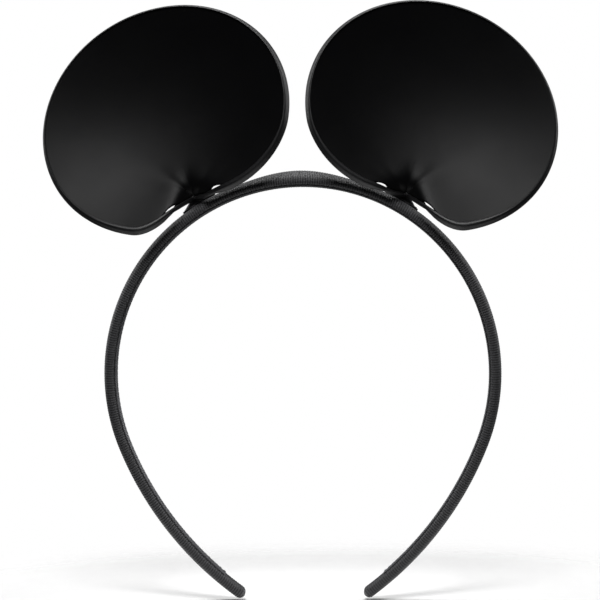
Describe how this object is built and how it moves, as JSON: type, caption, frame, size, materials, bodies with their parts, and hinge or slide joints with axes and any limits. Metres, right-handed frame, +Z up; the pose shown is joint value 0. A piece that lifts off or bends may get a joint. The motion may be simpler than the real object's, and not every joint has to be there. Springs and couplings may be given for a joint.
{
  "type": "animal ears headband",
  "caption": "Ribbon-covered plastic arch headband with a pair of round, cupped, padded fabric ears gathered at the base.",
  "frame": {"origin": "centre of the crown curve's inner face, on the arch's mid-plane, where the middle of a wearer's head would be", "axes": "+Z up through the crown, +Y towards the back of the ears (the ears' hollow side faces -Y), +X to the right seen from -Y"},
  "size_m": [0.1816, 0.0198, 0.2105],
  "materials": {
    "core_plastic": "moulded black plastic, satin",
    "cover_ribbon": "black ribbed grosgrain ribbon, ribs across the arch",
    "lining_ribbon": "black ribbed grosgrain ribbon",
    "thread": "black polyester sewing thread",
    "tab_fabric": "black folded fabric",
    "ear_fabric": "smooth black satin-faced fabric, matte sheen",
    "binding_fabric": "smooth black satin binding",
    "foam": "dark open-cell foam sheet",
    "spring_wire": "drawn steel wire",
    "ferrule_metal": "crimped sleeve"
  },
  "bodies": {
    "crown": {"crown_core": "core_plastic", "crown_cover": "cover_ribbon", "crown_lining": "lining_ribbon", "crown_seam_thread": "thread", "left_base_tab": "tab_fabric", "right_base_tab": "tab_fabric", "left_tack_stitches": "thread", "right_tack_stitches": "thread"},
    "left_arm": {"left_arm_core": "core_plastic", "left_arm_cover": "cover_ribbon", "left_arm_lining": "lining_ribbon", "left_arm_seam_thread": "thread"},
    "right_arm": {"right_arm_core": "core_plastic", "right_arm_cover": "cover_ribbon", "right_arm_lining": "lining_ribbon", "right_arm_seam_thread": "thread"},
    "left_ear": {"left_front_panel": "ear_fabric", "left_pad": "foam", "left_rear_panel": "ear_fabric", "left_edge_binding": "binding_fabric", "left_edge_wire": "spring_wire", "left_wire_ferrule": "ferrule_metal", "left_gather_stitches": "thread"},
    "right_ear": {"right_front_panel": "ear_fabric", "right_pad": "foam", "right_rear_panel": "ear_fabric", "right_edge_binding": "binding_fabric", "right_edge_wire": "spring_wire", "right_wire_ferrule": "ferrule_metal", "right_gather_stitches": "thread"}
  },
  "joints": [
    {"name": "left_arm_flex", "type": "hinge", "parent": "crown", "child": "left_arm", "pos_m": [-0.06198, 0, 0.03296], "axis": [0, 1, 0], "range_deg": [0, 14], "stiffness_Nm_per_rad": 1.4},
    {"name": "right_arm_flex", "type": "hinge", "parent": "crown", "child": "right_arm", "pos_m": [0.06198, 0, 0.03296], "axis": [0, -1, 0], "range_deg": [0, 14], "stiffness_Nm_per_rad": 1.4},
    {"name": "left_ear_tilt", "type": "hinge", "parent": "crown", "child": "left_ear", "pos_m": [-0.0362, 0, 0.06096], "axis": [0.8599, 0, 0.5105], "range_deg": [-20, 10], "stiffness_Nm_per_rad": 0.08},
    {"name": "right_ear_tilt", "type": "hinge", "parent": "crown", "child": "right_ear", "pos_m": [0.0362, 0, 0.06096], "axis": [0.8599, 0, -0.5105], "range_deg": [-20, 10], "stiffness_Nm_per_rad": 0.08}
  ]
}
